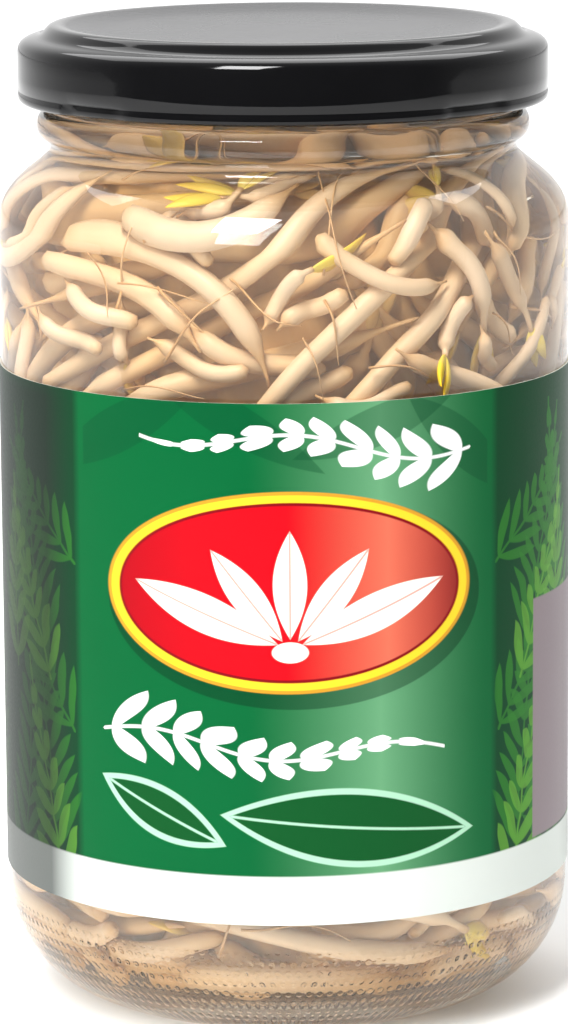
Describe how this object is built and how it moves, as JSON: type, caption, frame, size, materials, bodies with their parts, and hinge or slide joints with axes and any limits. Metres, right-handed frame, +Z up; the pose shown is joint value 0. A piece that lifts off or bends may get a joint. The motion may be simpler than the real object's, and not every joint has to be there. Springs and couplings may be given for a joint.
{
  "type": "jar of bean sprouts",
  "caption": "Round glass jar packed with pale bean sprouts in brine, with a wrap-around label and a black twist-off cap that turns and climbs its thread.",
  "frame": {"origin": "centre of the foot, on the surface that the jar stands on", "axes": "+Z up along the jar's axis, -Y through the middle of the label's front, +X to the right of it"},
  "size_m": [0.075, 0.075, 0.1285],
  "materials": {
    "glass": "clear, glossy",
    "lacquer": "glossy black lacquer with a fine orange peel",
    "compound": "matt sealing compound",
    "label": "glossy printed paper",
    "brine": "clear, slightly straw-coloured liquid",
    "sprout": "wet, smooth and slightly translucent"
  },
  "bodies": {
    "jar": {"jar": "glass", "label": "label", "brine": "brine", "packed_sprouts": "sprout", "sprout_01": "sprout", "sprout_02": "sprout", "sprout_03": "sprout", "sprout_04": "sprout", "sprout_05": "sprout", "sprout_06": "sprout", "sprout_07": "sprout", "sprout_08": "sprout", "sprout_09": "sprout", "sprout_10": "sprout", "sprout_11": "sprout", "sprout_12": "sprout", "sprout_13": "sprout", "sprout_14": "sprout", "sprout_15": "sprout", "sprout_16": "sprout", "sprout_17": "sprout", "sprout_18": "sprout", "sprout_19": "sprout", "sprout_20": "sprout", "sprout_21": "sprout", "sprout_22": "sprout", "sprout_23": "sprout", "sprout_24": "sprout", "sprout_25": "sprout", "sprout_26": "sprout", "sprout_27": "sprout", "sprout_28": "sprout", "sprout_29": "sprout", "sprout_30": "sprout", "sprout_31": "sprout", "sprout_32": "sprout", "sprout_33": "sprout", "sprout_34": "sprout", "sprout_35": "sprout", "sprout_36": "sprout", "sprout_37": "sprout", "sprout_38": "sprout", "sprout_39": "sprout", "sprout_40": "sprout", "sprout_41": "sprout", "sprout_42": "sprout", "sprout_43": "sprout", "sprout_44": "sprout", "sprout_45": "sprout", "sprout_46": "sprout", "sprout_47": "sprout", "sprout_48": "sprout"},
    "seal": {"lid_seal": "compound"},
    "lid": {"lid": "lacquer"}
  },
  "joints": [
    {"name": "lid_lift", "type": "slide", "parent": "jar", "child": "seal", "axis": [0, 0, 1], "range_m": [0, 0.00126]},
    {"name": "lid_turn", "type": "hinge", "parent": "seal", "child": "lid", "pos_m": [0, 0, 0.1235], "axis": [0, 0, 1], "range_deg": [0, 60]}
  ],
  "couplings": [
    {"joint": "lid_lift", "follows": "lid_turn", "m_per_rad": 0.0011459}
  ]
}
